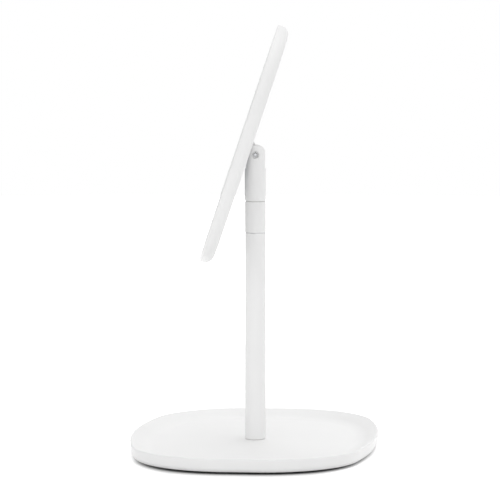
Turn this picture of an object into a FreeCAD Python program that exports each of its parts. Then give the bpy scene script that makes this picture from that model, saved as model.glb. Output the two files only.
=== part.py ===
import FreeCAD, Part
import math
import os
import Sketcher

# Tabletop mirror: a dished tray carries a pole, and a fork head on the pole turns
# about the pole and holds a mirror panel that tilts about a clamp screw.
# Millimetres, +Z up. The origin is on the table, on the pole's axis, and the mirror
# faces -Y. The panel's pieces are drawn lying on their back and then leaned upright.

SIZES = {
    # outline shared by the tray and the mirror panel
    "shell_width": 290.0,
    "shell_depth": 192.0,
    "long_side_radius": 394.0,
    # tray
    "tray_round": 4.5,
    "lip_width": 1.6,
    "lip_round": 1.0,
    "dish_depth": 5.1,
    "dish_slope": 12.0,
    "dish_cove": 16.0,
    "floor_rise": 2.4,
    "floor_flat_inset": 60.0,
    "floor_thickness": 2.2,
    # weight and pad under the tray
    "weight_thickness": 3.0,
    "weight_inset": 42.0,
    "weight_clearance": 0.3,
    "pad_thickness": 1.6,
    "pad_inset": 13.0,
    # foot of the pole
    "bolt_radius": 2.5,
    "bolt_head_radius": 5.0,
    "bolt_length": 20.0,
    "bolt_clearance": 0.2,
    "thread_clearance": 0.05,
    "gasket_thickness": 0.5,
    "gasket_setback": 0.4,
    "plug_length": 18.0,
    "foot_pin_radius": 1.2,
    "foot_pin_offset": 4.7,
    "foot_pin_length": 9.0,
    "foot_pin_clearance": 0.05,
    "foot_pin_end": 0.5,
    # pole
    "tube_radius": 8.0,
    "tube_wall": 1.0,
    "tube_length": 161.0,
    "edge_break": 0.3,
    "fit_clearance": 0.02,
    # swivel
    "collar_radius": 8.2,
    "collar_length": 24.5,
    "collar_groove": 0.5,
    "collar_groove_depth": 0.6,
    "spigot_length": 14.0,
    "spigot_wall": 1.2,
    "web_thickness": 2.5,
    "bush_length": 18.0,
    "bush_wall": 1.5,
    "bush_flange": 0.6,
    "bush_setback": 0.7,
    "running_clearance": 0.05,
    "swivel_radius": 3.0,
    "swivel_head_radius": 5.0,
    "swivel_head_height": 4.0,
    "swivel_thread": 14.0,
    "swivel_hole_end": 1.0,
    "swivel_washer_thickness": 1.0,
    "spring_thickness": 0.6,
    "spring_rise": 0.4,
    # fork head and its clamp screw
    "head_shank": 35.9,
    "crown_drop": 0.7,
    "slot_drop": 11.0,
    "screw_radius": 1.5,
    "screw_head_radius": 2.75,
    "screw_head_height": 1.7,
    "screw_head_recess": 2.2,
    "screw_socket": 1.0,
    "screw_socket_depth": 1.0,
    "screw_head_clearance": 0.25,
    "tip_recess": 2.2,
    "tip_recess_radius": 2.9,
    "tip_setback": 0.5,
    "tip_chamfer": 0.45,
    "sleeve_wall": 1.0,
    "friction_washer": 0.8,
    "side_play": 0.05,
    # tongue and plate behind the panel
    "tongue_thickness": 5.0,
    "knuckle_radius": 5.5,
    "foot_half": 10.0,
    "foot_thickness": 3.5,
    "web_half": 4.5,
    "hinge_room": 0.35,
    "plate_thickness": 2.0,
    "plate_margin": 12.0,
    "plate_corner": 5.0,
    "fixing_radius": 1.5,
    "fixing_head_radius": 3.0,
    "fixing_clearance": 0.1,
    "fixing_inset": 6.0,
    "plate_fixing_length": 4.0,
    "tongue_fixing_length": 7.0,
    "tongue_fixing_offset": 6.5,
    "fixing_hole_end": 0.3,
    # mirror panel
    "pin_to_back": 5.3,
    "panel_rise": 5.0,
    "window_side": 1.8,
    "window_below": 33.0,
    "window_corner": 5.0,
    "rim_width": 2.2,
    "plate_clearance": 1.3,
    "ledge_width": 8.0,
    "tape_thickness": 0.8,
    "tape_setback": 1.2,
    "glass_thickness": 3.0,
    "glass_recess": 0.7,
    "glass_clearance": 0.3,
    "glass_chamfer": 0.5,
    "front_round": 1.5,
    "back_round": 7.0,
    "cushion_length": 34.0,
    "cushion_width": 16.0,
    "cushion_offset_x": 80.0,
    "cushion_offset_y": 46.0,
    # pose in which the object stands
    "rest_tilt": 18.6,
    "rest_swivel": 4.25,
}

doc = FreeCAD.newDocument("tabletop_mirror")
sheet = doc.addObject("Spreadsheet::Sheet", "Sizes")
for row, (alias, number) in enumerate(SIZES.items(), start=1):
    sheet.set(f"A{row}", alias)
    sheet.set(f"B{row}", str(number))
    sheet.setAlias(f"B{row}", alias)
doc.recompute()


class Dim:
    """A size: its value in millimetres and the sheet formula that gives it."""

    def __init__(self, value, formula):
        self.value = value
        self.formula = formula

    def __add__(self, other):
        other = as_dim(other)
        return Dim(self.value + other.value, f"({self.formula} + {other.formula})")

    def __sub__(self, other):
        other = as_dim(other)
        return Dim(self.value - other.value, f"({self.formula} - {other.formula})")

    def __mul__(self, factor):
        return Dim(self.value * factor, f"({self.formula} * {factor!r})")

    def __truediv__(self, divisor):
        return Dim(self.value / divisor, f"({self.formula} / {divisor!r})")

    def __neg__(self):
        return Dim(-self.value, f"(-{self.formula})")


def as_dim(number):
    return number if isinstance(number, Dim) else Dim(number, repr(number))


class Sizes:
    """The cells of the sheet, as attributes."""


for alias, number in SIZES.items():
    setattr(Sizes, alias, Dim(number, f"Sizes.{alias}"))
s = Sizes
ZERO = as_dim(0)

# Corners of the outline: a fixed share of its depth
outline_corner = s.shell_depth * 19 / 48

# Heights up the pole
tray_bottom = s.pad_thickness
weight_top = tray_bottom + s.weight_thickness
tray_floor = weight_top + s.floor_thickness
tray_rim = tray_floor + s.dish_depth
dish_low = tray_floor - s.floor_rise
tube_foot = tray_floor + s.gasket_thickness
tube_top = tube_foot + s.tube_length
collar_top = tube_top + s.collar_length
head_bottom = collar_top + s.bush_flange
pin_height = head_bottom + s.head_shank

# Levels through the panel, counted from the tilt axis towards the glass
plate_seat = s.collar_radius + s.hinge_room
plate_top = plate_seat + s.plate_thickness
glass_back = plate_top + s.plate_clearance
ledge = glass_back - s.tape_thickness
glass_front = glass_back + s.glass_thickness
panel_front = glass_front + s.glass_recess

# Where the pieces go: the base as drawn, the head swivelled, the panel also leaned back
turn = FreeCAD.Rotation(FreeCAD.Vector(0, 0, 1), s.rest_swivel.value)
upright = FreeCAD.Rotation(FreeCAD.Vector(1, 0, 0), 90.0 - s.rest_tilt.value)
sideways = FreeCAD.Rotation(FreeCAD.Vector(0, 1, 0), 90.0)
pin_point = FreeCAD.Vector(0, 0, pin_height.value)
head_place = FreeCAD.Placement(FreeCAD.Vector(), turn)
cross_place = FreeCAD.Placement(pin_point, turn * sideways)
hinge_place = FreeCAD.Placement(pin_point, turn * upright)
panel_rise = FreeCAD.Vector(0, s.panel_rise.value, 0)
panel_place = hinge_place * FreeCAD.Placement(panel_rise, FreeCAD.Rotation())


def new_body(label):
    body = doc.addObject("PartDesign::Body", label)
    body.Label = label
    return body


def new_sketch(body, role="XY_Plane", height=ZERO):
    """An empty sketch parallel to one of the body's origin planes."""
    sketch = body.newObject("Sketcher::SketchObject", f"{body.Name}_sketch")
    plane = next(f for f in body.Origin.OriginFeatures if f.Role == role)
    sketch.AttachmentSupport = [(plane, "")]
    sketch.MapMode = "FlatFace"
    if height is not ZERO:
        sketch.setExpression("AttachmentOffset.Base.z", height.formula)
    return sketch


def constrain(sketch, kind, *where, size=None):
    if size is None:
        sketch.addConstraint(Sketcher.Constraint(kind, *where))
        return
    index = sketch.addConstraint(Sketcher.Constraint(kind, *where, size.value))
    sketch.setExpression(f"Constraints[{index}]", size.formula)


def place_point(sketch, curve, point, x, y):
    """Ties one point of a curve to its distances from the sketch's axes."""
    origin = (-1, 1)
    for kind, axis, size in (("DistanceX", -2, x), ("DistanceY", -1, y)):
        if size is ZERO:
            constrain(sketch, "PointOnObject", curve, point, axis)
        else:
            constrain(sketch, kind, *origin, curve, point, size=size)


def add_circle(sketch, radius, x=ZERO, y=ZERO):
    centre = FreeCAD.Vector(x.value, y.value, 0)
    curve = sketch.addGeometry(Part.Circle(centre, FreeCAD.Vector(0, 0, 1), radius.value))
    constrain(sketch, "Radius", curve, size=radius)
    place_point(sketch, curve, 3, x, y)


def add_polygon(sketch, corners):
    corners = [(as_dim(x), as_dim(y)) for x, y in corners]
    points = [FreeCAD.Vector(x.value, y.value, 0) for x, y in corners]
    curves = [
        sketch.addGeometry(Part.LineSegment(start, end))
        for start, end in zip(points, points[1:] + points[:1])
    ]
    for curve, following in zip(curves, curves[1:] + curves[:1]):
        constrain(sketch, "Coincident", curve, 2, following, 1)
    for curve, (x, y) in zip(curves, corners):
        place_point(sketch, curve, 1, x, y)


def arc(centre, radius, start, end):
    circle = Part.Circle(centre, FreeCAD.Vector(0, 0, 1), radius)
    return Part.ArcOfCircle(circle, start, end)


def join_tangent(sketch, curves):
    for curve, following in zip(curves, curves[1:] + curves[:1]):
        constrain(sketch, "Tangent", curve, 2, following, 1)


def add_outline(sketch, inset):
    """The soft oval, moved in by an inset: straight ends, round corners, bowed long sides."""
    half_width = s.shell_width / 2 - inset
    bow_centre = s.shell_depth / 2 - s.long_side_radius
    bow_radius = s.long_side_radius - inset
    corner_radius = outline_corner - inset
    corner_x = half_width.value - corner_radius.value
    reach = bow_radius.value - corner_radius.value
    corner_y = bow_centre.value + math.sqrt(reach ** 2 - corner_x ** 2)
    lean = math.atan2(corner_y - bow_centre.value, corner_x)
    half_turn = math.pi
    end = FreeCAD.Vector(half_width.value, corner_y, 0)
    end_low = FreeCAD.Vector(half_width.value, -corner_y, 0)
    bow = FreeCAD.Vector(0, bow_centre.value, 0)
    corner = FreeCAD.Vector(corner_x, corner_y, 0)
    corner_low = FreeCAD.Vector(corner_x, -corner_y, 0)
    shapes = [
        Part.LineSegment(end_low, end),
        arc(corner, corner_radius.value, 0, lean),
        arc(bow, bow_radius.value, lean, half_turn - lean),
        arc(-corner_low, corner_radius.value, half_turn - lean, half_turn),
        Part.LineSegment(-end_low, -end),
        arc(-corner, corner_radius.value, half_turn, half_turn + lean),
        arc(-bow, bow_radius.value, half_turn + lean, 2 * half_turn - lean),
        arc(corner_low, corner_radius.value, 2 * half_turn - lean, 2 * half_turn),
    ]
    curves = [sketch.addGeometry(shape) for shape in shapes]
    join_tangent(sketch, curves)
    right, corner_a, bow_far, corner_b, left, corner_c, bow_near, corner_d = curves
    for line in (right, left):
        constrain(sketch, "Vertical", line)
    constrain(sketch, "DistanceX", -1, 1, right, 1, size=half_width)
    constrain(sketch, "DistanceX", -1, 1, left, 1, size=-half_width)
    for curve, centre_y in ((bow_far, bow_centre), (bow_near, -bow_centre)):
        place_point(sketch, curve, 3, ZERO, centre_y)
        constrain(sketch, "Radius", curve, size=bow_radius)
    for curve in (corner_a, corner_b, corner_c, corner_d):
        constrain(sketch, "Radius", curve, size=corner_radius)


def extrude(body, kind, sketch, length=None, **settings):
    """A Pad or Pocket; with no length it goes through all, both ways."""
    feature = body.newObject(f"PartDesign::{kind}", f"{body.Name}_{kind.lower()}")
    feature.Profile = sketch
    if length is None:
        feature.Type = "ThroughAll"
        feature.Midplane = True
    else:
        feature.setExpression("Length", length.formula)
    for name, setting in settings.items():
        setattr(feature, name, setting)
    doc.recompute()
    return feature


def loft(body, kind, start, end):
    """An AdditiveLoft or SubtractiveLoft with straight sides between two sketches."""
    feature = body.newObject(f"PartDesign::{kind}", f"{body.Name}_{kind.lower()}")
    feature.Profile = start
    feature.Sections = [end]
    feature.Ruled = True
    doc.recompute()


def revolve(body, kind, corners):
    """A Revolution or Groove of a profile of radii and heights about the body's Z axis."""
    sketch = new_sketch(body, "XZ_Plane")
    add_polygon(sketch, corners)
    feature = body.newObject(f"PartDesign::{kind}", f"{body.Name}_{kind.lower()}")
    feature.Profile = sketch
    feature.ReferenceAxis = (sketch, ["V_Axis"])
    feature.Angle = 360.0
    doc.recompute()
    return feature


def turned(label, corners, place=None):
    """A piece made on a lathe."""
    body = new_body(label)
    revolve(body, "Revolution", corners)
    if place is not None:
        body.Placement = place
    return body


def edges_where(body, test):
    return [f"Edge{number}" for number, edge in enumerate(body.Shape.Edges, start=1) if test(edge)]


def edges_level(height):
    """Picks the edges that lie flat at one height."""
    def level(edge):
        box = edge.BoundBox
        return max(abs(box.ZMin - height.value), abs(box.ZMax - height.value)) < 1e-4
    return level


def edges_upright(height):
    """Picks straight edges along Z that start at one height."""
    def rising(edge):
        box = edge.BoundBox
        return box.XLength < 1e-4 and box.YLength < 1e-4 and abs(box.ZMin - height.value) < 1e-4
    return rising


def dress(body, kind, test, size):
    """A Fillet or Chamfer on the edges that pass a test."""
    base = body.Tip
    names = edges_where(body, test)
    feature = body.newObject(f"PartDesign::{kind}", f"{body.Name}_{kind.lower()}")
    feature.Base = (base, names)
    feature.setExpression("Radius" if kind == "Fillet" else "Size", size.formula)
    doc.recompute()
    return feature


def ring(inner, outer, low, high):
    """Profile of a plain ring."""
    return [(inner, low), (outer, low), (outer, high), (inner, high)]


def group(label, pieces, place):
    compound = doc.addObject("Part::Compound", label)
    compound.Label = label
    compound.Links = pieces
    compound.Placement = place
    return compound


# Tray: a shallow dish with a rounded underside, a hollow for the weight, and a floor that
# rises a little from the edge towards the pole
def make_tray():
    body = new_body("base_tray")
    sketch = new_sketch(body, height=tray_bottom)
    add_outline(sketch, ZERO)
    extrude(body, "Pad", sketch, tray_rim - tray_bottom)
    dress(body, "Fillet", edges_level(tray_bottom), s.tray_round)
    rim = new_sketch(body, height=tray_rim)
    add_outline(rim, s.lip_width)
    low = new_sketch(body, height=dish_low)
    add_outline(low, s.lip_width + s.dish_slope)
    loft(body, "SubtractiveLoft", rim, low)
    low = new_sketch(body, height=dish_low)
    add_outline(low, s.lip_width + s.dish_slope)
    floor = new_sketch(body, height=tray_floor)
    add_outline(floor, s.floor_flat_inset)
    loft(body, "AdditiveLoft", low, floor)
    dress(body, "Fillet", edges_level(dish_low), s.dish_cove)
    dress(body, "Fillet", edges_level(tray_rim), s.lip_round)
    hollow = new_sketch(body, height=tray_bottom)
    add_outline(hollow, s.weight_inset)
    extrude(body, "Pocket", hollow, s.weight_thickness, Reversed=True)
    drill_foot(body, weight_top, s.floor_thickness)
    return body


def drill_foot(body, low, thickness):
    """Holes for the pole's bolt and its locating pin, from one height up."""
    for radius, x in (
        (s.bolt_radius + s.bolt_clearance, ZERO),
        (s.foot_pin_radius + s.foot_pin_clearance, s.foot_pin_offset),
    ):
        hole = new_sketch(body, height=low)
        add_circle(hole, radius, x)
        extrude(body, "Pocket", hole, thickness, Reversed=True)


# Weight: a steel plate that fills the tray's hollow, countersunk for the bolt
bolt_head_height = s.bolt_head_radius - s.bolt_radius


def make_weight():
    body = new_body("base_weight")
    sketch = new_sketch(body, height=tray_bottom)
    add_outline(sketch, s.weight_inset + s.weight_clearance)
    extrude(body, "Pad", sketch, s.weight_thickness)
    wide = s.bolt_head_radius + s.bolt_clearance
    narrow = s.bolt_radius + s.bolt_clearance
    revolve(body, "Groove", [
        (ZERO, tray_bottom),
        (wide, tray_bottom),
        (narrow, tray_bottom + bolt_head_height),
        (narrow, weight_top),
        (ZERO, weight_top),
    ])
    return body


# Pad: the dark sheet that the mirror stands on
def make_pad():
    body = new_body("base_pad")
    sketch = new_sketch(body)
    add_outline(sketch, s.pad_inset)
    extrude(body, "Pad", sketch, s.pad_thickness)
    return body


# Foot of the pole: bolt, pin, gasket and threaded plug
def make_foot():
    bolt_top = tray_bottom + s.bolt_length
    bolt = turned("pole_bolt", [
        (ZERO, tray_bottom),
        (s.bolt_head_radius, tray_bottom),
        (s.bolt_radius, tray_bottom + bolt_head_height),
        (s.bolt_radius, bolt_top),
        (ZERO, bolt_top),
    ])
    pin_top = weight_top + s.foot_pin_length
    pin = turned("foot_pin", [
        (ZERO, weight_top),
        (s.foot_pin_radius, weight_top),
        (s.foot_pin_radius, pin_top),
        (ZERO, pin_top),
    ])
    pin.setExpression("Placement.Base.x", s.foot_pin_offset.formula)
    hole_radius = s.bolt_radius + s.bolt_clearance
    gasket = turned("foot_gasket", ring(
        hole_radius, s.tube_radius - s.gasket_setback, tray_floor, tube_foot))
    drill_foot(gasket, tray_floor, s.gasket_thickness)
    bore = s.bolt_radius + s.thread_clearance
    outer = s.tube_radius - s.tube_wall - s.fit_clearance
    plug = turned("foot_plug", ring(bore, outer, tube_foot, tube_foot + s.plug_length))
    socket = new_sketch(plug, height=tube_foot)
    add_circle(socket, s.foot_pin_radius + s.foot_pin_clearance, s.foot_pin_offset)
    extrude(plug, "Pocket", socket, pin_top + s.foot_pin_end - tube_foot, Reversed=True)
    return [bolt, pin, gasket, plug]


# Pole: a drawn tube with its outer edges broken
def make_tube():
    inner = s.tube_radius - s.tube_wall
    broken = s.tube_radius - s.edge_break
    return turned("pole_tube", [
        (inner, tube_foot),
        (broken, tube_foot),
        (s.tube_radius, tube_foot + s.edge_break),
        (s.tube_radius, tube_top - s.edge_break),
        (broken, tube_top),
        (inner, tube_top),
    ])


# Swivel: collar with its spigot in the tube and a fine groove above the tube's end, nylon
# bush, screw, washer and disc spring
bush_bore = s.swivel_radius + s.running_clearance
bush_outer = bush_bore + s.bush_wall
web_top = collar_top - s.bush_length
web_low = web_top - s.web_thickness


def make_collar():
    spigot = s.tube_radius - s.tube_wall - s.fit_clearance
    hollow = spigot - s.spigot_wall
    broken = s.collar_radius - s.edge_break
    seat = s.collar_radius - s.collar_groove_depth
    groove_top = tube_top + s.collar_groove
    spigot_low = tube_top - s.spigot_length
    web_bore = s.swivel_radius + s.hinge_room
    bush_seat = bush_outer + s.fit_clearance
    return turned("swivel_collar", [
        (hollow, spigot_low),
        (spigot, spigot_low),
        (spigot, tube_top),
        (seat, tube_top),
        (seat, groove_top),
        (s.collar_radius, groove_top),
        (s.collar_radius, collar_top - s.edge_break),
        (broken, collar_top),
        (bush_seat, collar_top),
        (bush_seat, web_top),
        (web_bore, web_top),
        (web_bore, web_low),
        (hollow, web_low),
    ])


def make_bush():
    flange = s.collar_radius - s.bush_setback
    return turned("swivel_bush", [
        (bush_bore, web_top),
        (bush_outer, web_top),
        (bush_outer, collar_top),
        (flange, collar_top),
        (flange, head_bottom),
        (bush_bore, head_bottom),
    ])


def make_swivel():
    washer_top = web_low - s.side_play
    washer_low = washer_top - s.swivel_washer_thickness
    spring_low = washer_low - s.spring_thickness - s.spring_rise
    head_low = spring_low - s.swivel_head_height
    thread_top = head_bottom + s.swivel_thread
    hole = s.swivel_radius + s.thread_clearance
    washer = turned("swivel_washer", ring(
        hole, s.swivel_head_radius, washer_low, washer_top), head_place)
    spring = turned("swivel_spring", [
        (hole, spring_low + s.spring_rise),
        (s.swivel_head_radius, spring_low),
        (s.swivel_head_radius, spring_low + s.spring_thickness),
        (hole, washer_low),
    ], head_place)
    screw = turned("swivel_screw", [
        (ZERO, head_low),
        (s.swivel_head_radius, head_low),
        (s.swivel_head_radius, spring_low),
        (s.swivel_radius, spring_low),
        (s.swivel_radius, thread_top),
        (ZERO, thread_top),
    ], head_place)
    return [washer, spring, screw]


# Fork head: a round bar, half-round on top, slotted for the tongue and cross-drilled
ear_inner = s.tongue_thickness / 2 + s.side_play + s.friction_washer
head_seat = s.collar_radius - s.screw_head_recess
tip_seat = s.collar_radius - s.tip_recess


def make_head():
    body = new_body("hinge_head")
    crown_centre = pin_height - s.crown_drop
    crown = crown_centre + s.collar_radius
    broken = s.collar_radius - s.edge_break
    revolve(body, "Revolution", [
        (ZERO, head_bottom),
        (broken, head_bottom),
        (s.collar_radius, head_bottom + s.edge_break),
        (s.collar_radius, crown),
        (ZERO, crown),
    ])
    round_crown(body, crown_centre, crown)
    slot = new_sketch(body, "XZ_Plane")
    slot_low = pin_height - s.slot_drop
    add_polygon(slot, [(-ear_inner, slot_low), (ear_inner, slot_low), (ear_inner, crown), (-ear_inner, crown)])
    extrude(body, "Pocket", slot)
    cross_bore = new_sketch(body, "YZ_Plane")
    add_circle(cross_bore, s.screw_radius + s.thread_clearance, ZERO, pin_height)
    extrude(body, "Pocket", cross_bore)
    tip_side = new_sketch(body, "YZ_Plane", tip_seat)
    add_circle(tip_side, s.tip_recess_radius, ZERO, pin_height)
    extrude(body, "Pocket", tip_side, s.tip_recess, Reversed=True)
    head_side = new_sketch(body, "YZ_Plane", -head_seat)
    add_circle(head_side, s.screw_head_radius + s.screw_head_clearance, ZERO, pin_height)
    extrude(body, "Pocket", head_side, s.screw_head_recess)
    thread = new_sketch(body, height=head_bottom)
    add_circle(thread, s.swivel_radius + s.thread_clearance)
    extrude(body, "Pocket", thread, s.swivel_thread + s.swivel_hole_end, Reversed=True)
    body.Placement = head_place
    return body


def round_crown(body, middle, crown):
    """Cuts the bar's top to a half round, seen along the tilt axis."""
    sketch = new_sketch(body, "YZ_Plane")
    radius = s.collar_radius
    centre = FreeCAD.Vector(0, middle.value, 0)
    side = FreeCAD.Vector(radius.value, 0, 0)
    up = FreeCAD.Vector(0, radius.value, 0)
    shapes = [
        arc(centre, radius.value, 0, math.pi),
        Part.LineSegment(centre - side, centre - side + up),
        Part.LineSegment(centre - side + up, centre + side + up),
        Part.LineSegment(centre + side + up, centre + side),
    ]
    curves = [sketch.addGeometry(shape) for shape in shapes]
    for curve, following in zip(curves, curves[1:] + curves[:1]):
        constrain(sketch, "Coincident", curve, 2, following, 1)
    half_round, left, top, right = curves
    constrain(sketch, "Radius", half_round, size=radius)
    place_point(sketch, half_round, 3, ZERO, middle)
    for end in (1, 2):
        constrain(sketch, "DistanceY", -1, 1, half_round, end, size=middle)
    for line in (left, right):
        constrain(sketch, "Vertical", line)
    constrain(sketch, "Horizontal", top)
    constrain(sketch, "DistanceY", -1, 1, top, 1, size=crown)
    extrude(body, "Pocket", sketch)


# Clamp screw, sleeve and friction washers on the tilt axis, drawn along it
def make_hinge():
    tip = s.collar_radius - s.tip_setback
    head_end = -(head_seat + s.screw_head_height)
    screw = turned("hinge_screw", [
        (ZERO, head_end),
        (s.screw_head_radius - s.edge_break, head_end),
        (s.screw_head_radius, head_end + s.edge_break),
        (s.screw_head_radius, -head_seat),
        (s.screw_radius, -head_seat),
        (s.screw_radius, tip - s.tip_chamfer),
        (s.screw_radius - s.tip_chamfer, tip),
        (ZERO, tip),
    ], cross_place)
    socket = new_sketch(screw, height=head_end)
    corner_reach = s.screw_socket / math.cos(math.pi / 6)
    corner_angles = [math.pi / 3 * step for step in range(6)]
    add_polygon(socket, [(corner_reach * math.cos(a), corner_reach * math.sin(a)) for a in corner_angles])
    extrude(screw, "Pocket", socket, s.screw_socket_depth, Reversed=True)
    bore = s.screw_radius + s.thread_clearance
    sleeve_radius = bore + s.sleeve_wall
    sleeve_end = ear_inner - s.side_play
    sleeve = turned("hinge_sleeve", ring(bore, sleeve_radius, -sleeve_end, sleeve_end), cross_place)
    washer_bore = sleeve_radius + s.running_clearance
    washer_inner = ear_inner - s.friction_washer
    washers = [
        turned("friction_washer_near", ring(washer_bore, s.knuckle_radius, washer_inner, ear_inner)),
        turned("friction_washer_far", ring(washer_bore, s.knuckle_radius, -ear_inner, -washer_inner)),
    ]
    return [screw, sleeve, group("friction_washers", washers, cross_place)]


# Tongue: knuckle round the sleeve, and a foot against the plate
def make_tongue():
    body = new_body("hinge_tongue")
    knuckle = new_sketch(body, "YZ_Plane")
    add_circle(knuckle, s.knuckle_radius)
    extrude(body, "Pad", knuckle, s.tongue_thickness, Midplane=True)
    web = new_sketch(body, "YZ_Plane")
    foot_low = plate_seat - s.foot_thickness
    add_polygon(web, [
        (-s.web_half, ZERO),
        (s.web_half, ZERO),
        (s.foot_half, foot_low),
        (s.foot_half, plate_seat),
        (-s.foot_half, plate_seat),
        (-s.foot_half, foot_low),
    ])
    extrude(body, "Pad", web, s.tongue_thickness, Midplane=True)
    bore = new_sketch(body, "YZ_Plane")
    sleeve_radius = s.screw_radius + s.thread_clearance + s.sleeve_wall
    add_circle(bore, sleeve_radius + s.running_clearance)
    extrude(body, "Pocket", bore)
    depth = s.tongue_fixing_length - s.plate_thickness + s.fixing_hole_end
    for y in (s.tongue_fixing_offset, -s.tongue_fixing_offset):
        hole = new_sketch(body, height=plate_seat)
        add_circle(hole, s.fixing_radius + s.thread_clearance, ZERO, y)
        extrude(body, "Pocket", hole, depth)
    body.Placement = hinge_place
    return body


# Plate behind the shell's window, with its screws and the tongue's
window_above = s.foot_half + s.window_side
plate_half = s.collar_radius + s.window_side + s.plate_margin
plate_low_y = -(s.window_below + s.plate_margin)
plate_high_y = window_above + s.plate_margin
fixing_head_height = s.fixing_head_radius - s.fixing_radius
fixing_x = plate_half - s.fixing_inset
plate_fixings = [
    (x, y)
    for x in (-fixing_x, fixing_x)
    for y in (plate_low_y + s.fixing_inset, plate_high_y - s.fixing_inset)
]
tongue_fixings = [(ZERO, -s.tongue_fixing_offset), (ZERO, s.tongue_fixing_offset)]


def make_plate():
    body = new_body("hinge_plate")
    sketch = new_sketch(body, height=plate_seat)
    add_polygon(sketch, [
        (-plate_half, plate_low_y),
        (plate_half, plate_low_y),
        (plate_half, plate_high_y),
        (-plate_half, plate_high_y),
    ])
    extrude(body, "Pad", sketch, s.plate_thickness)
    dress(body, "Fillet", edges_upright(plate_seat), s.plate_corner)
    centres = new_sketch(body, height=plate_top)
    for x, y in plate_fixings + tongue_fixings:
        add_circle(centres, s.fixing_radius, x, y)
    doc.recompute()
    hole = body.newObject("PartDesign::Hole", "hinge_plate_hole")
    hole.Profile = centres
    hole.DepthType = "ThroughAll"
    hole.HoleCutType = "Countersink"
    hole.HoleCutCustomValues = True
    hole.HoleCutCountersinkAngle = 90.0
    hole.setExpression("Diameter", ((s.fixing_radius + s.fixing_clearance) * 2).formula)
    hole.setExpression("HoleCutDiameter", ((s.fixing_head_radius + s.fixing_clearance) * 2).formula)
    doc.recompute()
    body.Placement = hinge_place
    return body


def make_fixings(label, centres, length):
    """Countersunk screws, heads flush with the plate."""
    screws = []
    for number, (x, y) in enumerate(centres, start=1):
        screw = turned(f"{label}_{number}", [
            (ZERO, plate_top - length),
            (s.fixing_radius, plate_top - length),
            (s.fixing_radius, plate_top - fixing_head_height),
            (s.fixing_head_radius, plate_top),
            (ZERO, plate_top),
        ])
        screw.setExpression("Placement.Base.x", x.formula)
        screw.setExpression("Placement.Base.y", y.formula)
        screws.append(screw)
    doc.recompute()
    return group(label, screws, hinge_place)


# Panel shell: the tray's outline again, hollow in front, with a window for the head
ledge_inset = s.rim_width + s.ledge_width


def make_shell():
    body = new_body("mirror_shell")
    sketch = new_sketch(body, height=s.pin_to_back)
    add_outline(sketch, ZERO)
    extrude(body, "Pad", sketch, panel_front - s.pin_to_back)
    dress(body, "Fillet", edges_level(s.pin_to_back), s.back_round)
    dress(body, "Fillet", edges_level(panel_front), s.front_round)
    recess = new_sketch(body, height=panel_front)
    add_outline(recess, s.rim_width)
    extrude(body, "Pocket", recess, panel_front - ledge)
    hollow = new_sketch(body, height=ledge)
    add_outline(hollow, ledge_inset)
    extrude(body, "Pocket", hollow, ledge - plate_seat)
    cut_window(body)
    depth = s.plate_fixing_length - s.plate_thickness + s.fixing_hole_end
    for x, y in plate_fixings:
        hole = new_sketch(body, height=plate_seat)
        add_circle(hole, s.fixing_radius + s.thread_clearance, x, y - s.panel_rise)
        extrude(body, "Pocket", hole, depth)
    body.Placement = panel_place
    return body


def cut_window(body):
    """Opening in the back where the head turns, with round corners."""
    window = new_sketch(body, height=plate_seat)
    half = s.collar_radius + s.window_side
    low = -(s.window_below + s.panel_rise)
    high = window_above - s.panel_rise
    add_polygon(window, [(-half, low), (half, low), (half, high), (-half, high)])
    extrude(body, "Pocket", window, plate_seat - s.pin_to_back)
    dress(body, "Fillet", edges_upright(s.pin_to_back), s.window_corner)


# Glass on its adhesive ring and foam cushions
def make_glass():
    tape = new_body("glass_tape")
    band = new_sketch(tape, height=ledge)
    add_outline(band, s.rim_width + s.tape_setback)
    add_outline(band, ledge_inset - s.tape_setback)
    extrude(tape, "Pad", band, s.tape_thickness)
    tape.Placement = panel_place
    cushions = []
    for number, (x_side, y_side) in enumerate(((-1, -1), (1, -1), (1, 1), (-1, 1)), start=1):
        cushion = doc.addObject("Part::Box", f"glass_pad_{number}")
        cushion.setExpression("Length", s.cushion_length.formula)
        cushion.setExpression("Width", s.cushion_width.formula)
        cushion.setExpression("Height", (glass_back - plate_seat).formula)
        x = s.cushion_offset_x * x_side - s.cushion_length / 2
        y = s.cushion_offset_y * y_side - s.cushion_width / 2
        for axis, size in (("x", x), ("y", y), ("z", plate_seat)):
            cushion.setExpression(f"Placement.Base.{axis}", size.formula)
        cushions.append(cushion)
    doc.recompute()
    pads = group("glass_pads", cushions, panel_place)
    glass = new_body("mirror_glass")
    sheet_of_glass = new_sketch(glass, height=glass_back)
    add_outline(sheet_of_glass, s.rim_width + s.glass_clearance)
    extrude(glass, "Pad", sheet_of_glass, s.glass_thickness)
    dress(glass, "Chamfer", edges_level(glass_front), s.glass_chamfer)
    glass.Placement = panel_place
    return [tape, pads, glass]


nodes = [make_tray(), make_weight(), make_pad()]
nodes += make_foot()
nodes += [make_tube(), make_collar(), make_bush()]
nodes += make_swivel()
nodes.append(make_head())
nodes += make_hinge()
nodes += [make_tongue(), make_plate()]
nodes.append(make_fixings("tongue_screws", tongue_fixings, s.tongue_fixing_length))
nodes.append(make_fixings("plate_screws", plate_fixings, s.plate_fixing_length))
nodes.append(make_shell())
nodes += make_glass()
doc.recompute()

for item in doc.Objects:
    if "Invalid" in item.State or "Error" in item.State:
        raise RuntimeError(f"{item.Label} failed to build: {item.State}")
for node in nodes:
    if node.Shape.isNull() or not node.Shape.isValid():
        raise RuntimeError(f"{node.Label} has no valid shape")

os.makedirs("parts", exist_ok=True)
for node in nodes:
    node.Shape.exportStep(f"parts/{node.Label}.step")
    print(f"{node.Label}: {len(node.Shape.Solids)} solid(s), {node.Shape.Volume / 1000:.2f} cm3")
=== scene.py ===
import math

import bmesh
import bpy
from mathutils import Matrix, Vector


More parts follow.
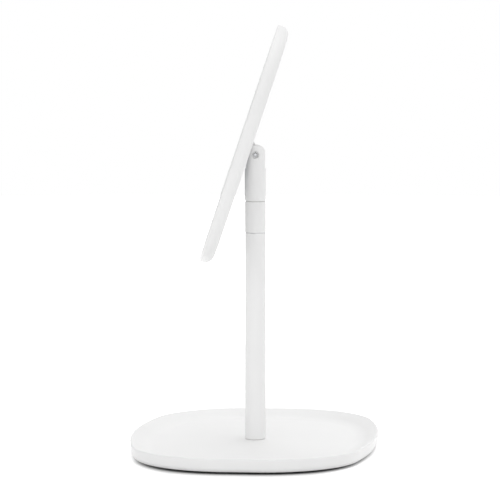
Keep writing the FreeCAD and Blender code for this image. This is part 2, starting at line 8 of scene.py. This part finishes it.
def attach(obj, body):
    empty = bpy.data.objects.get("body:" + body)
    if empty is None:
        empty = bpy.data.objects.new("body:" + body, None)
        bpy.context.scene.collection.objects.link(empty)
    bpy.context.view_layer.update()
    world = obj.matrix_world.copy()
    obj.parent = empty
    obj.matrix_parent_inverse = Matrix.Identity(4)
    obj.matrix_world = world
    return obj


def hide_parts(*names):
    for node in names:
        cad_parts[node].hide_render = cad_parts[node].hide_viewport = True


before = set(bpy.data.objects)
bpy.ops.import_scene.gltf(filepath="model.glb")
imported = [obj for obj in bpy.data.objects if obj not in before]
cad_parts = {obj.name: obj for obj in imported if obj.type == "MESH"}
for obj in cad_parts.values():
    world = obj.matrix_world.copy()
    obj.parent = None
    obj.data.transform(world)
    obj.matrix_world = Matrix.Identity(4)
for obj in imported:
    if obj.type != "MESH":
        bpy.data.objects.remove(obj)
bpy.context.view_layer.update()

# Base pad: a thin sheet of black foam rubber, cut to the tray's outline a little smaller and glued
# under it, so that the mirror stands firm and doesn't slip. Only this touches the table; its black
# edge is part of the dark line under the tray, the rest of which is the floor's painted shadow.
MM = 0.001
hair = 0.001 * MM
crease = math.radians(40)
outline_half_width = 145 * MM
outline_half_depth = 96 * MM
long_side_radius = 394 * MM
corner_radius = 76 * MM
long_side_centre = outline_half_depth - long_side_radius
corner_x = outline_half_width - corner_radius
corner_y = long_side_centre + math.sqrt((long_side_radius - corner_radius) ** 2 - corner_x ** 2)
corner_turn = math.atan2(corner_y - long_side_centre, corner_x)


def draw_section(bm, corners, rounds):
    """Draws a cut through a rim at the right-hand end: insets from the outline and heights in
    millimetres, with some corners rounded to a radius."""
    points = [
        Vector((outline_half_width - inset * MM, 0, height * MM)) for inset, height in corners]
    chain = [bm.verts.new(point) for point in points]
    for start, end in zip(chain, chain[1:]):
        bm.edges.new((start, end))
    for index, (radius, segments) in rounds.items():
        turn = (points[index] - points[index - 1]).angle(points[index + 1] - points[index])
        bmesh.ops.bevel(
            bm, geom=[chain[index]], affect="VERTICES", offset=radius * MM * math.tan(turn / 2),
            offset_type="OFFSET", segments=segments, profile=0.5, material=-1)


def carry_round(bm):
    """Carries the section round a quarter of the soft oval, then mirrors it both ways."""
    legs = (
        ((0, 0, 0), 0, (0, corner_y, 0), 1),
        ((corner_x, corner_y, 0), corner_turn, (0, 0, 0), 28),
        ((0, long_side_centre, 0), math.pi / 2 - corner_turn, (0, 0, 0), 9),
    )
    section = bm.verts[:] + bm.edges[:]
    for centre, angle, shift, steps in legs:
        swept = bmesh.ops.spin(
            bm, geom=section, cent=centre, axis=(0, 0, 1), angle=angle, dvec=shift, steps=steps)
        section = swept["geom_last"]
    for axis in "XY":
        bmesh.ops.mirror(
            bm, geom=bm.verts[:] + bm.edges[:] + bm.faces[:], axis=axis, merge_dist=hair)


def open_edges(bm):
    """The edges that have a face on one side only."""
    return [edge for edge in bm.edges if edge.is_boundary]


def open_loop(bm, height, inset):
    """The edges of an open border of the swept rim, at one height and inset."""
    reach = outline_half_width - inset * MM
    border = [
        edge for edge in open_edges(bm)
        if all(abs(v.co.z - height * MM) < hair for v in edge.verts)]
    widest = max(abs(v.co.x) for edge in border for v in edge.verts)
    assert abs(widest - reach) < 10 * hair, (widest, reach)
    return border


def make_piece(bm, name, body, finishes, stands_for, place=Matrix()):
    """Closes a mesh and makes it a piece that rides on a body in place of a CAD node."""
    bmesh.ops.remove_doubles(bm, verts=bm.verts, dist=hair)
    bmesh.ops.recalc_face_normals(bm, faces=bm.faces)
    bmesh.ops.transform(bm, matrix=place, verts=bm.verts)
    mesh = bpy.data.meshes.new(name)
    bm.to_mesh(mesh)
    bm.free()
    mesh.shade_smooth()
    mesh.set_sharp_from_angle(angle=crease)
    for finish in finishes:
        mesh.materials.append(finish)
    piece = bpy.data.objects.new(name, mesh)
    bpy.context.scene.collection.objects.link(piece)
    even = piece.modifiers.new("even_normals", "WEIGHTED_NORMAL")
    even.keep_sharp = True
    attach(piece, body)
    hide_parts(*stands_for)
    return piece


class Signal:
    """A socket among a material's nodes. Sums written on signals add Math nodes."""

    def __init__(self, socket):
        self.socket = socket

    def node(self, kind, settings, values, output=0):
        """Adds a node: its settings first, then the value or link of each socket."""
        made = self.socket.id_data.nodes.new(kind)
        for name, setting in settings.items():
            setattr(made, name, setting)
        feed(made, values)
        return Signal(made.outputs[output])

    def reckon(self, operation, first, second):
        return self.node("ShaderNodeMath", {"operation": operation}, {0: first, 1: second})

    def __add__(self, other):
        return self.reckon("ADD", self, other)

    def __sub__(self, other):
        return self.reckon("SUBTRACT", self, other)

    def __rsub__(self, other):
        return self.reckon("SUBTRACT", other, self)

    def __mul__(self, other):
        return self.reckon("MULTIPLY", self, other)

    __radd__ = __add__
    __rmul__ = __mul__


def feed(node, values):
    """Sets or links the sockets of a node."""
    for name, value in values.items():
        if isinstance(value, Signal):
            node.id_data.links.new(value.socket, node.inputs[name])
        else:
            node.inputs[name].default_value = value


def new_finish(name):
    """A material, its shader, and the place on the piece that its patterns read."""
    material = bpy.data.materials.new(name)
    material.use_nodes = True
    tree = material.node_tree
    place = tree.nodes.new("ShaderNodeTexCoord").outputs["Object"]
    return material, tree.nodes["Principled BSDF"], Signal(place)


def noise(place, scale, detail=2.0):
    return place.node("ShaderNodeTexNoise", {}, {"Vector": place, "Scale": scale, "Detail": detail})


def blend_tones(factor, low, high):
    """A colour between two, by a factor that varies over the piece."""
    return factor.node("ShaderNodeMix", {"data_type": "RGBA"}, {0: factor, 6: low, 7: high}, 2)


def relief(height, strength, depth):
    """Surface relief of a depth in millimetres, as a normal."""
    return height.node("ShaderNodeBump", {}, {
        "Height": height, "Strength": strength, "Distance": depth * MM}, "Normal")


black_foam_rubber, shader, place = new_finish("black_foam_rubber")
cells = place.node("ShaderNodeTexVoronoi", {}, {"Vector": place, "Scale": 1500}, "Distance")
mottle = noise(place, 60)
feed(shader, {
    "Base Color": blend_tones(mottle, (0.016, 0.016, 0.017, 1), (0.034, 0.034, 0.035, 1)),
    "Roughness": 0.78 + cells * 0.2,
    "Normal": relief(cells, 0.5, 0.12),
})

pad_inset, pad_border, pad_top = 13.0, 14.0, 1.6
pad_lower_round, pad_upper_round = 0.5, 0.25
bm = bmesh.new()
draw_section(bm, [
    (pad_border, 0),
    (pad_inset, 0),
    (pad_inset, pad_top),
    (pad_border, pad_top),
], {1: (pad_lower_round, 4), 2: (pad_upper_round, 3)})
carry_round(bm)
for height in (0, pad_top):
    bmesh.ops.edgeloop_fill(bm, edges=open_loop(bm, height, pad_border))
pad = make_piece(bm, "foam_rubber_pad", "base", [black_foam_rubber], ["base_pad"])

# Weight and the pole's fixings: a zinc-plated steel plate in the tray's hollow, the bolt
# that comes up through it, the pin that keeps the pole from turning, and the threaded
# plug pressed into the tube.
plated_steel, shader, place = new_finish("zinc_plated_steel")
stretched = place.node("ShaderNodeMapping", {}, {"Vector": place, "Scale": (1, 1, 18)}, "Vector")
scratches = noise(stretched, 420, 3)
bloom = noise(place, 90)
feed(shader, {
    "Base Color": blend_tones(bloom, (0.50, 0.51, 0.53, 1), (0.66, 0.67, 0.68, 1)),
    "Metallic": 1.0,
    "Roughness": 0.24 + scratches * 0.2,
    "Normal": relief(scratches, 0.2, 0.02),
})


def coat(finish, *names):
    """Gives CAD nodes their finish."""
    for name in names:
        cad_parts[name].material_slots[0].material = finish


coat(plated_steel, "base_weight", "pole_bolt", "foot_pin", "foot_plug")

# Tray: a shallow dish of white plastic, injection moulded with a fine satin texture. Inside
# its thin lip it slopes down to a floor that rises a little towards the pole, and outside it
# leans in, for the mould, to a rounded underside with a hollow for the weight.
white_plastic, shader, place = new_finish("white_satin_plastic")
satin = noise(place, 2200, 1)
drift = noise(place, 14)
feed(shader, {
    "Base Color": blend_tones(drift, (0.845, 0.845, 0.843, 1), (0.875, 0.875, 0.873, 1)),
    "Roughness": 0.40 + satin * 0.16,
    "Specular IOR Level": 0.2,
    "Normal": relief(satin, 0.12, 0.05),
})

tray_bottom, dish_low, tray_hollow, tray_floor, tray_rim = 1.6, 4.4, 4.6, 6.8, 11.9
lip_width, dish_slope, wall_draft, hollow_inset, floor_inset = 1.6, 12.0, 1.4, 42.0, 60.0
dish_cove, lip_round, lower_round = 16.0, 1.0, 4.0
bm = bmesh.new()
draw_section(bm, [
    (floor_inset, tray_floor),
    (lip_width + dish_slope, dish_low),
    (lip_width, tray_rim),
    (0, tray_rim),
    (wall_draft, tray_bottom),
    (hollow_inset, tray_bottom),
    (hollow_inset, tray_hollow),
], {1: (dish_cove, 10), 2: (lip_round, 5), 3: (lip_round, 5), 4: (lower_round, 12)})
carry_round(bm)
bolt_hole_radius = 2.7 * MM
for height, inset in ((tray_floor, floor_inset), (tray_hollow, hollow_inset)):
    rim_edges = open_loop(bm, height, inset)
    hole = bmesh.ops.create_circle(
        bm, segments=40, radius=bolt_hole_radius,
        matrix=Matrix.Translation((0, 0, height * MM)))
    hole_edges = list({edge for v in hole["verts"] for edge in v.link_edges})
    bmesh.ops.bridge_loops(bm, edges=rim_edges + hole_edges)
bmesh.ops.bridge_loops(bm, edges=open_edges(bm))
make_piece(bm, "dished_tray", "base", [white_plastic], ["base_tray"])

# Pole: a drawn steel tube, powder-coated white, standing on a thin washer of natural nylon.
# The coat has the faint ripple of melted powder.
def powder_coat(name):
    """The coat, with its shader and place for what a piece adds to it."""
    finish, shader, place = new_finish(name)
    ripple = noise(place, 700, 1)
    fine = noise(place, 3000, 1)
    feed(shader, {
        "Base Color": blend_tones(noise(place, 20), (0.85, 0.85, 0.848, 1), (0.88, 0.88, 0.878, 1)),
        "Roughness": 0.34 + fine * 0.14,
        "Specular IOR Level": 0.2,
        "Normal": relief(ripple, 0.15, 0.06),
    })
    return finish, shader, place


white_powder_coat = powder_coat("white_powder_coat")[0]
coat(white_powder_coat, "pole_tube")

pale_nylon, shader, place = new_finish("natural_nylon")
cloud = noise(place, 150, 2)
feed(shader, {
    "Base Color": blend_tones(cloud, (0.60, 0.60, 0.585, 1), (0.68, 0.68, 0.665, 1)),
    "Roughness": 0.42 + cloud * 0.2,
    "Normal": relief(cloud, 0.2, 0.03),
})
coat(pale_nylon, "foot_gasket")

# Swivel: a white collar plugged into the tube, a flanged nylon bush whose edge shows as a fine
# line, and the screw, washer and disc spring that hold the head down on it. Below the groove above
# the tube's end, the collar is coloured as bare steel, darker and metallic: painted shade in the
# groove.
groove_shade_top = 168.8
collar_coat, shader, place = powder_coat("collar_powder_coat")
level = place.node("ShaderNodeSeparateXYZ", {}, {"Vector": place}, "Z")
# Painted shade: below this height the collar is coloured darker, as bare steel, to darken the
# groove.
painted_groove_shade = place.reckon("LESS_THAN", level, groove_shade_top * MM)
feed(shader, {
    "Base Color": blend_tones(painted_groove_shade, (0.865, 0.865, 0.863, 1), (0.50, 0.50, 0.51, 1)),
    "Metallic": painted_groove_shade,
})
coat(collar_coat, "swivel_collar")
coat(pale_nylon, "swivel_bush")
coat(plated_steel, "swivel_screw", "swivel_washer", "swivel_spring")

# Fork head: a round bar with a half-round top, slotted for the tongue and coated like the
# pole. The clamp screw passes through both ears, its tip shows in a small recess, and two
# washers of dark nylon give the hinge its friction.
coat(white_powder_coat, "hinge_head")
coat(plated_steel, "hinge_screw", "hinge_sleeve")

dark_nylon, shader, place = new_finish("dark_nylon")
speckle = noise(place, 1800, 2)
feed(shader, {
    "Base Color": blend_tones(speckle, (0.020, 0.020, 0.021, 1), (0.050, 0.050, 0.052, 1)),
    "Roughness": 0.45 + speckle * 0.25,
    "Normal": relief(speckle, 0.3, 0.03),
})
coat(dark_nylon, "friction_washers")

# Tongue and plate: the tongue turns between the ears, and two screws hold it to a steel
# plate that four more screws fix inside the panel, behind its window.
coat(white_powder_coat, "hinge_tongue")
coat(plated_steel, "tongue_screws", "hinge_plate", "plate_screws")

# Panel shell: white plastic like the tray and to the same outline, hollow in front, with a
# lip round the glass and a window in its back where the head comes through.
pin_height = 229.3
panel_rise = 5.0
rest_tilt, rest_swivel = 18.6, 4.25
panel_place = (
    Matrix.Translation((0, 0, pin_height * MM))
    @ Matrix.Rotation(math.radians(rest_swivel), 4, "Z")
    @ Matrix.Rotation(math.radians(90 - rest_tilt), 4, "X")
    @ Matrix.Translation((0, panel_rise * MM, 0))
)
panel_back, panel_seat, panel_ledge, panel_front = 5.3, 8.55, 11.05, 15.55
rim_width, ledge_inset, back_inset = 2.2, 10.2, 8.0
rim_edge_round, front_round, back_round = 0.2, 1.5, 7.0
window_half, window_low, window_high, window_corner = 10.0, -38.0, 6.8, 5.0
bm = bmesh.new()
draw_section(bm, [
    (ledge_inset, panel_seat),
    (ledge_inset, panel_ledge),
    (rim_width, panel_ledge),
    (rim_width, panel_front),
    (0, panel_front),
    (0, panel_back),
    (back_inset, panel_back),
], {3: (rim_edge_round, 3), 4: (front_round, 6), 5: (back_round, 14)})
carry_round(bm)
for height, inset in ((panel_seat, ledge_inset), (panel_back, back_inset)):
    rim_edges = open_loop(bm, height, inset)
    window = [
        bm.verts.new((x * MM, y * MM, height * MM))
        for x, y in ((window_half, window_low), (window_half, window_high),
                     (-window_half, window_high), (-window_half, window_low))
    ]
    before = set(bm.verts) - set(window)
    for start, end in zip(window, window[1:] + window[:1]):
        bm.edges.new((start, end))
    bmesh.ops.bevel(
        bm, geom=window, affect="VERTICES", offset=window_corner * MM, offset_type="OFFSET",
        segments=8, profile=0.5, material=-1)
    window_edges = [edge for edge in bm.edges if not before.intersection(edge.verts)]
    bmesh.ops.bridge_loops(bm, edges=rim_edges + window_edges)
bmesh.ops.bridge_loops(bm, edges=open_edges(bm))
make_piece(
    bm, "panel_shell", "mirror", [white_plastic], ["mirror_shell"], panel_place)

# Adhesive ring and cushions: a band of grey foam tape holds the glass to the shell's
# ledge, and four foam cushions glued in the hollow behind it are squeezed by the glass, so
# that their sides bulge.
grey_foam, shader, place = new_finish("grey_foam")
pores = place.node("ShaderNodeTexVoronoi", {}, {"Vector": place, "Scale": 1100}, "Distance")
feed(shader, {
    "Base Color": blend_tones(pores, (0.30, 0.30, 0.31, 1), (0.48, 0.48, 0.49, 1)),
    "Roughness": 0.9,
    "Normal": relief(pores, 0.7, 0.2),
})

glass_back = 11.85
tape_outer, tape_inner, tape_round = 3.4, 9.0, 0.2
bm = bmesh.new()
draw_section(bm, [
    (tape_outer, panel_ledge),
    (tape_outer, glass_back),
    (tape_inner, glass_back),
    (tape_inner, panel_ledge),
], {1: (tape_round, 3), 2: (tape_round, 3)})
carry_round(bm)
bmesh.ops.bridge_loops(bm, edges=open_edges(bm))
make_piece(bm, "foam_tape", "mirror", [grey_foam], ["glass_tape"], panel_place)

cushion_length, cushion_width, cushion_depth = 34.0, 16.0, glass_back - panel_seat
cushion_across, cushion_along, cushion_middle = 80.0, 46.0, (panel_seat + glass_back) / 2
cushion_bulge, cushion_corner = 0.5, 3.0


def climbs(edge):
    """Whether an edge goes up a cushion's side."""
    return abs(edge.verts[0].co.z - edge.verts[1].co.z) > cushion_depth * MM / 4


bm = bmesh.new()
for right, up in ((-1, -1), (1, -1), (1, 1), (-1, 1)):
    middle = Matrix.Translation(
        Vector((right * cushion_across, up * cushion_along, cushion_middle)) * MM)
    block = Matrix.Diagonal(Vector((cushion_length, cushion_width, cushion_depth)) * MM).to_4x4()
    cushion = bmesh.ops.create_cube(bm, size=1, matrix=middle @ block)["verts"]
    upright = list({edge for v in cushion for edge in v.link_edges if climbs(edge)})
    halved = bmesh.ops.subdivide_edges(bm, edges=upright, cuts=1)["geom_inner"]
    waist = [v for v in halved if isinstance(v, bmesh.types.BMVert)]
    bulge = [(side + 2 * cushion_bulge) / side for side in (cushion_length, cushion_width)]
    bmesh.ops.scale(bm, vec=(*bulge, 1), space=middle.inverted(), verts=waist)
bmesh.ops.bevel(
    bm, geom=[edge for edge in bm.edges if climbs(edge)], affect="EDGES",
    offset=cushion_corner * MM, offset_type="OFFSET", segments=5, profile=0.5, material=-1)
cushions = make_piece(
    bm, "foam_cushions", "mirror", [grey_foam], ["glass_pads"], panel_place)

# Glass: a 3 mm float-glass mirror with a ground and polished edge, silvered on its back. The
# edge shows the green of the glass.
silvering, shader, place = new_finish("silvered_glass_face")
haze = noise(place, 35, 4)
feed(shader, {
    "Base Color": blend_tones(haze, (0.88, 0.90, 0.89, 1), (0.91, 0.925, 0.92, 1)),
    "Metallic": 1.0,
    "Roughness": 0.012 + haze * 0.02,
})
glass_edge, shader, place = new_finish("polished_glass_edge")
grind = noise(place, 900, 2)
feed(shader, {
    "Base Color": blend_tones(grind, (0.42, 0.55, 0.50, 1), (0.55, 0.67, 0.62, 1)),
    "Roughness": 0.12 + grind * 0.12,
    "Normal": relief(grind, 0.1, 0.02),
})
glass_inset, glass_border, glass_front = 2.5, 5.5, 14.85
glass_back_round, glass_front_round = 0.3, 0.5
bm = bmesh.new()
draw_section(bm, [
    (glass_border, glass_back),
    (glass_inset, glass_back),
    (glass_inset, glass_front),
    (glass_border, glass_front),
], {1: (glass_back_round, 2), 2: (glass_front_round, 3)})
carry_round(bm)
for height in (glass_back, glass_front):
    bmesh.ops.edgeloop_fill(bm, edges=open_loop(bm, height, glass_border))
bmesh.ops.recalc_face_normals(bm, faces=bm.faces)
flat = 0.999
for face in bm.faces:
    face.material_index = 0 if abs(face.normal.z) > flat else 1
make_piece(
    bm, "silvered_glass", "mirror", [silvering, glass_edge], ["mirror_glass"],
    panel_place)

# Floor: a white sweep under the mirror. The camera and reflections see it as white paper with a
# painted shadow close round the tray, drawn from the occlusion near it, and a painted glow that
# rises towards the tray's long sides and fades the shadow there.
floor_mesh = bpy.data.meshes.new("white_floor")
bm = bmesh.new()
floor_radius = 3.0
bmesh.ops.create_circle(bm, cap_ends=True, segments=96, radius=floor_radius)
bm.to_mesh(floor_mesh)
bm.free()
floor = bpy.data.objects.new("white_floor", floor_mesh)
bpy.context.scene.collection.objects.link(floor)


def seen_rays(tree):
    """1 for rays from the camera, reflections and glass, 0 for the light on the object."""
    path = tree.nodes.new("ShaderNodeLightPath")
    camera, glossy, through = (
        Signal(path.outputs[f"Is {kind} Ray"]) for kind in ("Camera", "Glossy", "Transmission"))
    return camera.reckon("MAXIMUM", camera.reckon("MAXIMUM", camera, glossy), through)


floor_paper, shader, place = new_finish("white_paper")
seen = seen_rays(floor_paper.node_tree)
# Painted shadow: the occlusion within this reach darkens the floor's colour and glow.
shade_reach, shade_power = 11 * MM, 0.7
openness = place.node(
    "ShaderNodeAmbientOcclusion", {"samples": 16}, {"Distance": shade_reach}, "AO")
shade = place.reckon("POWER", openness, shade_power)
# Painted light: the floor's glow grows towards the tray's long sides and paints out its shadow
# there.
across = place.node("ShaderNodeSeparateXYZ", {}, {"Vector": place}, "Y")
painted_glow_starts, painted_glow_full = 50 * MM, 90 * MM
middle_glow, side_glow = 0.22, 1.0
glow = place.node("ShaderNodeMapRange", {"interpolation_type": "SMOOTHSTEP"}, {
    "Value": across * across,
    "From Min": painted_glow_starts ** 2, "From Max": painted_glow_full ** 2,
    "To Min": middle_glow, "To Max": side_glow,
})
feed(shader, {
    "Base Color": blend_tones(seen * (1 - shade), (0.9, 0.9, 0.9, 1), (0, 0, 0, 1)),
    "Roughness": 0.9,
    "Specular IOR Level": 0.0,
    "Emission Color": blend_tones(seen * shade * glow, (0, 0, 0, 1), (1, 1, 1, 1)),
    "Emission Strength": 1.0,
})
floor_mesh.materials.append(floor_paper)

# Light: soft white panels in a tent, low ones on the camera's side, a large one high behind
# the mirror and one high on the right. The camera and reflections see the tent plain white.
world = bpy.data.worlds.new("white_tent")
bpy.context.scene.world = world
world.use_nodes = True
tree = world.node_tree
direction = Signal(tree.nodes.new("ShaderNodeTexCoord").outputs["Generated"])
towards_camera, sideways, upwards = (
    direction.node("ShaderNodeSeparateXYZ", {}, {"Vector": direction}, axis) for axis in "XYZ")
tent = 0.0
for bearing, lift, focus, strength in (
    (-45, 12, 3, 1.24),
    (0, 12, 3, 0.42),
    (45, 12, 3, 0.68),
    (90, 50, 4, 0.93),
    (180, 50, 4, 1.98),
):
    bearing, lift = math.radians(bearing), math.radians(lift)
    facing = (
        towards_camera * (math.cos(bearing) * math.cos(lift))
        + sideways * (math.sin(bearing) * math.cos(lift))
        + upwards * math.sin(lift))
    in_front = direction.reckon("MAXIMUM", facing, 0.0)
    tent = tent + direction.reckon("POWER", in_front, focus) * strength
seen = seen_rays(tree)
feed(tree.nodes["Background"], {"Color": seen + (1 - seen) * tent, "Strength": 1.0})

# Camera: a long lens 2.5 m away and a little higher than the mirror, looking down at the
# panel's edge.
picture_width, focal_pixels = 500, 3223.26
camera_data = bpy.data.cameras.new("side_view")
camera_data.sensor_width = 36
camera_data.lens = focal_pixels * camera_data.sensor_width / picture_width
camera = bpy.data.objects.new("side_view", camera_data)
bpy.context.scene.collection.objects.link(camera)
distance, height = 2.5, 0.36174
bearing, pan, dip = math.radians(94.790), math.radians(0.0970), math.radians(4.730)
camera.location = (distance * math.sin(bearing), -distance * math.cos(bearing), height)
look = Vector((
    -math.sin(bearing + pan) * math.cos(dip),
    math.cos(bearing + pan) * math.cos(dip),
    -math.sin(dip)))
camera.rotation_euler = look.to_track_quat("-Z", "Y").to_euler()
bpy.context.scene.camera = camera
bpy.context.scene.view_settings.view_transform = "Standard"
